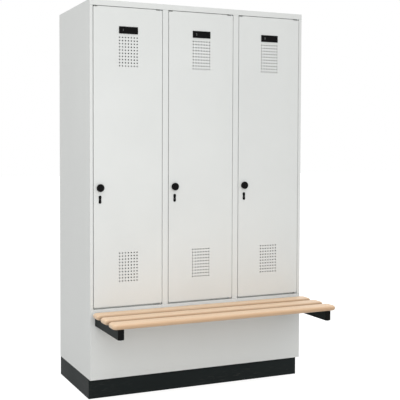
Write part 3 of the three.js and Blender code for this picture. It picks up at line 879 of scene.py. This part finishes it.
def turn_knob(number):
    """The knob round Y, with its cap and the cap's key slot."""
    node = f"turn_knob_{number}"
    low, high = box(node)
    centre = box_middle(low, high, "Y")
    front = low[1]
    body = f"latch_{number}"
    knob = placed(knob_body((high[0] - low[0]) / 2, front, high[1]), "XZY", centre)
    new_piece(f"knob_{number}", [knob], body, black_plastic, (node,))
    back = front + KNOB_DISH * 2
    cap = placed(
        round_bar(KNOB_CAP, front, back, KNOB_CAP_FILLETS, KNOB_CAP_SIDES), "XZY", centre
    )
    new_piece(f"knob_cap_{number}", [cap], body, label_black)
    slot = placed(
        slab(KEY_SLOT, KEY_SLOT_CORNER, KEY_SLOT_EDGE, edge_steps=1, corner_steps=3),
        "XZY",
        (centre[0], front - KEY_SLOT_PROUD, centre[2]),
    )
    new_piece(f"knob_key_slot_{number}", [slot], body, dark_steel)


KEY_HOLE_RADIUS = 0.0026
KEY_HOLE_WIDTH = 0.0024
KEY_HOLE_DROP = 0.009
PLATE_WAIST_SHARE = 0.16
PLATE_WAIST_REACH = 0.006
PLATE_EDGE = 0.0008
PLATE_EDGE_STEPS = 3
PLATE_POINTS = 160
# Turns the outline's points off the axes, where a reach would be divided by zero
PLATE_START = 1e-4


def oblong_reach(cosine, sine, half, end):
    """How far an oblong's outline is from its middle: half / |cos a| on the straight sides,
    and end |sin a| + sqrt(half^2 - end^2 cos^2 a) on the round ends."""
    side_reach = half / np.abs(cosine)
    inside = np.maximum(half**2 - (end * cosine) ** 2, 0)
    end_reach = end * np.abs(sine) + np.sqrt(inside)
    return np.where(np.abs(side_reach * sine) < end, side_reach, end_reach)


def keyhole_reach(cosine, sine):
    """The larger of a circle's reach and that of a slot that points down."""
    slot = np.minimum(KEY_HOLE_WIDTH / 2 / np.abs(cosine), KEY_HOLE_DROP / np.abs(sine))
    return np.maximum(KEY_HOLE_RADIUS, np.where(sine < 0, slot, 0))


def waisted_oblong(cosine, sine, half, end):
    """An oblong's outline with a waist: each u is drawn in to u (1 - s exp(-(v / r)^2))."""
    reach = oblong_reach(cosine, sine, half, end)
    v = reach * sine
    u = reach * cosine * (1 - PLATE_WAIST_SHARE * np.exp(-((v / PLATE_WAIST_REACH) ** 2)))
    return u, v


def key_plate(number):
    """A waisted oblong with a rounded front edge and a keyhole: a ring from the front edge
    over the rear to the hole."""
    node = f"key_plate_{number}"
    low, high = box(node)
    half = (high[0] - low[0]) / 2
    end = (high[2] - low[2]) / 2 - half
    angle = np.linspace(0, 2 * math.pi, PLATE_POINTS, endpoint=False) + PLATE_START
    cosine, sine = np.cos(angle), np.sin(angle)
    u, v = waisted_oblong(cosine, sine, half, end)
    insets, drops = rounding(PLATE_EDGE, PLATE_EDGE_STEPS)
    outlines = [
        np.column_stack((u * (1 - inset / half), v * (1 - inset / (half + end))))
        for inset in (*insets, 0)
    ]
    hole_reach = keyhole_reach(cosine, sine)
    hole = np.column_stack((hole_reach * cosine, hole_reach * sine))
    front, rear = low[1], high[1]
    ring = ring_of([*outlines, hole, hole], [*(front + drops), rear, rear, front])
    plate = placed(ring, "XZY", box_middle(low, high, "Y"))
    body = f"door_{number}"
    new_piece(f"escutcheon_{number}", [plate], body, black_plastic, (node,))


BARREL_CLEARANCE = 0.0002
BARREL_FACE = 0.0002
BARREL_DEPTH = 0.0007
BARREL_EASE = 0.0002
BARREL_SIDES = 24


def key_barrel(number):
    """The lock's barrel behind the keyhole: a turned disc, and a bar in the slot below it."""
    centre = box_middle(*box(f"key_plate_{number}"), "Y")
    face = box(f"door_{number}")[0][1] + BARREL_FACE
    radius = KEY_HOLE_RADIUS - BARREL_CLEARANCE
    eases = (BARREL_EASE, BARREL_EASE)
    disc = round_bar(radius, face, face + BARREL_DEPTH, eases, BARREL_SIDES)
    width = KEY_HOLE_WIDTH - 2 * BARREL_CLEARANCE
    length = KEY_HOLE_DROP - radius
    size = (width, length, BARREL_DEPTH)
    bar = slab(size, width / 2 - ROUND_SLACK, BARREL_EASE, edge_steps=2, corner_steps=4)
    middle = (centre[0], face + BARREL_DEPTH / 2, centre[2] - radius - length / 2)
    shells = [placed(disc, "XZY", centre), placed(bar, "XZY", middle)]
    new_piece(f"key_barrel_{number}", shells, f"door_{number}", dark_steel)


DOOR_TOP_GAP = 0.003
DOOR_BOTTOM_GAP = 0.009
PIN_RADIUS = 0.003
PIN_EASE = 0.0008
PIN_SIDES = 32
SLEEVE_GAP = 0.0002
SLEEVE_EASE = 0.0004
SLEEVE_SIDES = 40


def sleeve_ends(number, end):
    """The lowest and highest level of a sleeve in the gap over or under its door."""
    low, high = box(f"door_{number}")
    if end == "upper":
        return high[2] + SLEEVE_GAP, high[2] + DOOR_TOP_GAP - SLEEVE_GAP
    return low[2] - DOOR_BOTTOM_GAP + SLEEVE_GAP, low[2] - SLEEVE_GAP


def hinge_pin(number, end):
    """A pin with eased ends, and round it a plated sleeve as wide as the pin's collar."""
    node = f"hinge_pin_{end}_{number}"
    low, high = box(node)
    centre = box_middle(low, high, "Z")
    collar = (high[0] - low[0]) / 2
    body = f"door_{number}"
    pin = round_bar(PIN_RADIUS, low[2], high[2], (PIN_EASE, PIN_EASE), PIN_SIDES)
    shell = placed(pin, "XYZ", centre)
    new_piece(f"{node}_turned", [shell], body, zinc, (node,))
    eases = (SLEEVE_EASE, SLEEVE_EASE)
    sleeve = round_bar(collar, *sleeve_ends(number, end), eases, SLEEVE_SIDES)
    shell = placed(sleeve, "XYZ", centre)
    new_piece(f"hinge_sleeve_{end}_{number}", [shell], body, zinc)


def dress_doors():
    for number in doors:
        sheet_copy(f"door_{number}", grey_paint, ("-Y", "+Y"))
        softened_copy(f"label_holder_{number}", label_black, THIN_EASE)
        softened_copy(f"lock_case_{number}", zinc, THICK_EASE)
        softened_copy(f"lock_bolt_{number}", zinc, THIN_EASE)
        softened_copy(f"latch_cam_{number}", zinc, THIN_EASE)
        label_number(number)
        turn_knob(number)
        key_plate(number)
        key_barrel(number)
        hinge_pin(number, "upper")
        hinge_pin(number, "lower")


# Inside each compartment

OVAL_STEPS = 10
RAIL_WALL = 0.0015
SOCKET_THICKNESS = 0.0025
SOCKET_RIM = 0.006
SOCKET_EDGE = 0.0009


def oval(width, height):
    """An upright oval with full round ends."""
    return rounded_loop(width, height, width / 2 - ROUND_SLACK, OVAL_STEPS)


def coat_rail(number):
    """The oval rail, and a flanged socket on each wall that holds its end."""
    node = f"coat_rail_{number}"
    low, high = box(node)
    centre = box_middle(low, high, "X")
    size = (high - low)[1:]
    tube = pipe(oval(*size), oval(*(size - 2 * RAIL_WALL)), low[0], high[0])
    rail = placed(tube, "YZX", centre)
    new_piece(f"{node}_tube", [rail], "cabinet", zinc, (node,))
    width, height = size + 2 * SOCKET_RIM
    flange = (width, height, SOCKET_THICKNESS)
    corner = width / 2 - ROUND_SLACK
    plate = slab(flange, corner, SOCKET_EDGE, edge_steps=3, corner_steps=8)
    half = SOCKET_THICKNESS / 2
    sockets = [placed(plate, "YZX", (x, *centre[1:])) for x in (low[0] + half, high[0] - half)]
    new_piece(f"rail_sockets_{number}", sockets, "cabinet", black_plastic)


HOOK_CLEARANCE = 0.0005
HOOK_BAND = 0.003
HOOK_BAND_EASE = 0.0006
# A little over the ease, so that the eased outline's round ends keep their points apart
HOOK_BAND_CORNER_LOSS = 0.0007
HOOK_SECTION_POINTS = 20
HOOK_SECTION_POWER = 0.6
HOOK_ARM = 0.005
HOOK_ARM_POINTS = 61
HOOK_STEM_HALF = 0.003
HOOK_STEM_POINTS = 25
TIP_POWER = 24


def hook_band(bore, width):
    """An oval band round the bore: a ring over its outside, with eased rims, and back
    through the bore."""
    outer = bore + 2 * HOOK_BAND
    eased_size = outer - 2 * HOOK_BAND_EASE
    eased = rounded_loop(*eased_size, outer[0] / 2 - HOOK_BAND_CORNER_LOSS, OVAL_STEPS)
    loops = [eased, oval(*outer), oval(*outer), eased, oval(*bore), oval(*bore)]
    half = width / 2
    rim = half - HOOK_BAND_EASE
    return ring_of(loops, [-half, -rim, rim, half, half, -half])


def hook_section(width):
    """A superellipse: cos a and sin a, their sizes raised to a power and their signs kept.
    It is as wide as the hook, and 1 out to each side."""
    angle = np.linspace(0, 2 * math.pi, HOOK_SECTION_POINTS, endpoint=False)
    cosine, sine = np.cos(angle), np.sin(angle)
    across = np.sign(cosine) * np.abs(cosine) ** HOOK_SECTION_POWER * width / 2
    return across, np.sign(sine) * np.abs(sine) ** HOOK_SECTION_POWER


def rounded_tips(count):
    """The share of a section at each of count points along a bar: sqrt(1 - |t|^24), where t
    runs from -1 to 1."""
    return np.sqrt(1 - np.abs(np.linspace(-1, 1, count)) ** TIP_POWER)


def hook_arm(low, high, across, out):
    """A bar along a half circle that opens upwards, carried on a little at both ends."""
    outer = (high[1] - low[1]) / 2
    middle = outer - HOOK_ARM / 2
    half_sweep = math.pi / 2 + HOOK_ARM / 2 / middle
    bend = -math.pi / 2 + np.linspace(-1, 1, HOOK_ARM_POINTS) * half_sweep
    height = low[2] + outer
    arc = np.column_stack((middle * np.cos(bend), height + middle * np.sin(bend)))
    return swept(arc, across, out * HOOK_ARM / 2, rounded_tips(HOOK_ARM_POINTS))


def hook_stem(bottom, top, across, out):
    """A straight upright bar."""
    rise = np.linspace(bottom, top, HOOK_STEM_POINTS)
    line = np.column_stack((np.zeros_like(rise), rise))
    return swept(line, across, out * HOOK_STEM_HALF, rounded_tips(HOOK_STEM_POINTS))


def coat_hook(number, place):
    """A band round the rail, a half round arm, and a stem from the arm up to the band."""
    node = f"coat_hook_{number}_{place}"
    low, high = box(node)
    rail_low, rail_high = box(f"coat_rail_{number}")
    width = high[0] - low[0]
    centre = box_middle(low, high, "Z")
    bore = (rail_high - rail_low)[1:] + 2 * HOOK_CLEARANCE
    band_middle = high[2] - (bore[1] + 2 * HOOK_BAND) / 2
    across, out = hook_section(width)
    stem_bottom = low[2] + HOOK_ARM / 2
    stem_top = band_middle - bore[1] / 2 - HOOK_BAND / 2
    shells = [
        placed(hook_band(bore, width), "YZX", (*centre[:2], band_middle)),
        placed(hook_arm(low, high, across, out), "XYZ", centre),
        placed(hook_stem(stem_bottom, stem_top, across, out), "XYZ", centre),
    ]
    body = nodes[node]["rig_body"]
    new_piece(f"{node}_moulded", shells, body, black_plastic, (node,))


BUFFER_RADIUS = 0.004
BUFFER_HEIGHT = 0.0034
BUFFER_FILLETS = (0.0016, 0.0003)
BUFFER_SIDES = 20
BUFFER_INSET = 0.0045
BUFFER_FROM_END = 0.12
LIP_THICKNESS = 0.0008


def door_buffers():
    """Rubber buttons on the stop lips at each door's latch side, near its top and its foot."""
    button = round_bar(BUFFER_RADIUS, -BUFFER_HEIGHT, 0, BUFFER_FILLETS, BUFFER_SIDES)
    button = placed(button, "XZY", (0, 0, 0))
    lip_front = box("partition_stile_1")[1][1] - LIP_THICKNESS
    for number in doors:
        low, high = box(f"door_{number}")
        x = low[0] + BUFFER_INSET
        heights = (low[2] + BUFFER_FROM_END, high[2] - BUFFER_FROM_END)
        pads = repeated(button, [(x, lip_front, z) for z in heights])
        new_piece(f"door_buffers_{number}", [pads], "cabinet", black_rubber)


def dress_inside():
    for number in doors:
        coat_rail(number)
        for place in ("1", "2"):
            coat_hook(number, place)
    door_buffers()


# Bench

SLAT_CORNER = 0.024
# Each board's painted edge shade: the rear and middle boards face a gap between boards, so theirs
# is painted darker, as shade falls there
SLAT_PAINTED_EDGE_SHADES = {
    "rear": BEECH_GAP_SHADE,
    "middle": BEECH_GAP_SHADE,
    "front": BEECH_FRONT_EDGE_SHADE,
}
# How far apart in the wood two boards take their grain
GRAIN_STEP = 3.7


def bench_slat(node, grain_place, painted_edge_shade):
    """A slab that fills its node's box, in a wood of its own."""
    low, high = box(node)
    centre = box_middle(low, high)
    name = f"lacquered {node.replace('_', ' ')}"
    # The wood carries the board's painted edge shade
    wood = beech(name, grain_place, centre[1], high[1] - centre[1], painted_edge_shade)
    board = slab(high - low, SLAT_CORNER, SLAT_EDGE, edge_steps=6, corner_steps=12)
    shell = placed(board, "XYZ", centre)
    new_piece(f"{node}_board", [shell], "cabinet", wood, (node,))


TUBE_WALL = 0.002
TUBE_CORNER = 0.0035
CAP_PLATE = 0.0027
CAP_EDGE = 0.0012
PLUG_CLEARANCE = 0.0006
PLUG_EDGE = 0.0004


def bench_arm(side):
    """A rectangular tube with rounded corners, open at the rear, and the cap in its front."""
    node = f"bench_arm_{side}"
    low, high = box(node)
    centre = box_middle(low, high, "Y")
    size = (high - low)[[0, 2]]
    bore = size - 2 * TUBE_WALL
    bore_corner = TUBE_CORNER - TUBE_WALL
    outer = rounded_loop(*size, TUBE_CORNER)
    inner = rounded_loop(*bore, bore_corner)
    tube = placed(pipe(outer, inner, low[1], high[1]), "XZY", centre)
    new_piece(f"bench_tube_{side}", [tube], "cabinet", black_paint, (node,))

    node = f"arm_cap_{side}"
    low, high = box(node)
    plug_length = high[1] - low[1] - CAP_PLATE
    plate = slab((*size, CAP_PLATE), TUBE_CORNER, CAP_EDGE)
    plug = slab((*(bore - PLUG_CLEARANCE), plug_length), bore_corner, PLUG_EDGE)
    shells = [
        placed(plate, "XZY", (centre[0], low[1] + CAP_PLATE / 2, centre[2])),
        placed(plug, "XZY", (centre[0], high[1] - plug_length / 2, centre[2])),
    ]
    new_piece(f"tube_end_{side}", shells, "cabinet", black_plastic, (node,))


SCREW_RADIUS = 0.0045
SCREW_RISE = 0.0024
SCREW_FILLETS = (0.0018, 0.0002)
SCREW_SIDES = 20
SCREW_SPREAD_SHARE = 0.27


def bench_screws():
    """Pan heads under the arms, two for each slat."""
    head = round_bar(SCREW_RADIUS, -SCREW_RISE, 0, SCREW_FILLETS, SCREW_SIDES)
    for side in ("left", "right"):
        low, high = box(f"bench_arm_{side}")
        x = (low[0] + high[0]) / 2
        places = []
        for slat in SLAT_PAINTED_EDGE_SHADES:
            slat_low, slat_high = box(f"bench_slat_{slat}")
            middle = (slat_low[1] + slat_high[1]) / 2
            spread = SCREW_SPREAD_SHARE * (slat_high[1] - slat_low[1])
            places += [(x, middle - spread, low[2]), (x, middle + spread, low[2])]
        screws = repeated(head, places)
        new_piece(f"bench_screws_{side}", [screws], "cabinet", zinc)


def dress_bench():
    for board, (slat, painted_edge_shade) in enumerate(SLAT_PAINTED_EDGE_SHADES.items(), start=1):
        bench_slat(f"bench_slat_{slat}", board * GRAIN_STEP, painted_edge_shade)
    for side in ("left", "right"):
        bench_arm(side)
    bench_screws()


# Studio


def add_camera():
    data = bpy.data.cameras.new("camera")
    data.lens = CAMERA_LENS
    data.sensor_width = CAMERA_SENSOR
    data.shift_x, data.shift_y = CAMERA_SHIFT
    camera = in_scene("camera", data)
    camera.location = CAMERA_PLACE
    camera.rotation_euler = (math.pi / 2 + CAMERA_PITCH, 0, CAMERA_TURN)
    bpy.context.scene.camera = camera


def seen_directly(tree):
    """1 for rays from the camera, and for what gloss and glass show."""
    path = tree.nodes.new("ShaderNodeLightPath").outputs
    shown = number_math(tree, "MAXIMUM", path["Is Camera Ray"], path["Is Glossy Ray"])
    return number_math(tree, "MAXIMUM", shown, path["Is Transmission Ray"])


def split_rays(tree, lighting, seen, surface):
    """One shader lights the object, and the other is what is seen directly."""
    mix = tree.nodes.new("ShaderNodeMixShader")
    tree.links.new(seen_directly(tree), mix.inputs["Fac"])
    tree.links.new(lighting.outputs[0], mix.inputs[1])
    tree.links.new(seen.outputs[0], mix.inputs[2])
    tree.links.new(mix.outputs[0], surface)


def add_world():
    """A soft sky that is seen as plain white."""
    world = bpy.data.worlds.new("studio")
    world.use_nodes = True
    tree = world.node_tree
    sky = tree.nodes["Background"]
    sky.inputs["Color"].default_value = WHITE
    sky.inputs["Strength"].default_value = SKY_LIGHT
    white = tree.nodes.new("ShaderNodeBackground")
    white.inputs["Color"].default_value = WHITE
    white.inputs["Strength"].default_value = 1
    split_rays(tree, sky, white, tree.nodes["World Output"].inputs["Surface"])
    bpy.context.scene.world = world


def grey(value):
    return (value, value, value, 1)


def floor_material():
    """A matt pale floor; what is seen of it glows nearly white and takes a soft shadow."""
    material = bpy.data.materials.new("pale floor")
    material.use_nodes = True
    tree = material.node_tree
    pale = tree.nodes["Principled BSDF"]
    pale.inputs["Base Color"].default_value = grey(FLOOR_BOUNCE)
    pale.inputs["Roughness"].default_value = 1
    pale.inputs["Specular IOR Level"].default_value = 0
    shadow = tree.nodes.new("ShaderNodeBsdfDiffuse")
    shadow.inputs["Color"].default_value = grey(FLOOR_SHADE)
    glow = tree.nodes.new("ShaderNodeEmission")
    glow.inputs["Strength"].default_value = FLOOR_OWN_LIGHT
    both = tree.nodes.new("ShaderNodeAddShader")
    tree.links.new(shadow.outputs[0], both.inputs[0])
    tree.links.new(glow.outputs[0], both.inputs[1])
    split_rays(tree, pale, both, tree.nodes["Material Output"].inputs["Surface"])
    return material


def add_floor():
    mesh = bpy.data.meshes.new("floor")
    half = FLOOR_SIZE / 2
    corners = [(-half, -half, 0), (half, -half, 0), (half, half, 0), (-half, half, 0)]
    mesh.from_pydata(corners, [], [(0, 1, 2, 3)])
    mesh.materials.append(floor_material())
    floor = in_scene("floor", mesh)


def soft_light(name, place, target, size, power):
    """A wide lamp that faces its target."""
    data = bpy.data.lights.new(name, "AREA")
    data.shape = "RECTANGLE"
    data.size, data.size_y = size
    data.energy = power
    toward = np.array(target) - np.array(place)
    lamp = in_scene(name, data)
    lamp.location = place
    lamp.rotation_euler = (
        math.acos(-toward[2] / np.linalg.norm(toward)),
        0,
        math.atan2(-toward[0], toward[1]),
    )


def overhead_light():
    """Broad light from almost straight above, from a little in front."""
    data = bpy.data.lights.new("overhead", "SUN")
    data.energy = OVERHEAD_STRENGTH
    data.angle = OVERHEAD_SPREAD
    lamp = in_scene("overhead", data)
    lamp.rotation_euler = (OVERHEAD_TILT, 0, 0)


dress_cabinet()
add_rivets()
dress_doors()
dress_inside()
dress_bench()
add_camera()
add_world()
add_floor()
soft_light("studio lamp", **STUDIO_LAMP)
soft_light("side lamp", **SIDE_LAMP)
overhead_light()
bpy.context.scene.view_settings.view_transform = "Standard"
